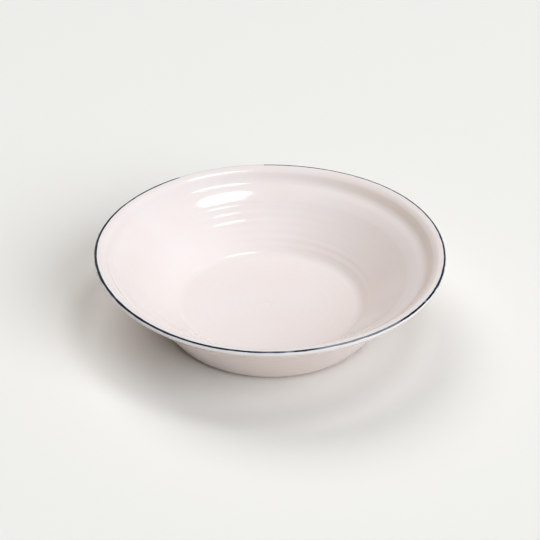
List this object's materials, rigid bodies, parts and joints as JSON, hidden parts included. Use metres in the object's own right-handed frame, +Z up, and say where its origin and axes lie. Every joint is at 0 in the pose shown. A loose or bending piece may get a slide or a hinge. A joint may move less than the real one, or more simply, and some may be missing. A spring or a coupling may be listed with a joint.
{
  "type": "serving bowl",
  "caption": "Wide round serving bowl of glazed earthenware with a flared lip, a blue line painted on the rim, a flat floor and a low foot ring.",
  "frame": {"origin": "middle of the foot ring's resting face, on the table", "axes": "+Z up along the axis of the bowl; the form is round, so +X and +Y are free"},
  "size_m": [0.3, 0.3, 0.07],
  "materials": {
    "bare_clay": "matt fired pinkish buff earthenware",
    "white_glaze": "glossy warm white glaze over pink clay",
    "blue_line": "glossy brushed blue-black pigment in the glaze"
  },
  "bodies": {
    "root": {"clay_body": "bare_clay", "foot_ring": "bare_clay", "inside_glaze": "white_glaze", "outside_glaze": "white_glaze", "foot_well_glaze": "white_glaze", "rim_line": "blue_line"}
  },
  "joints": []
}
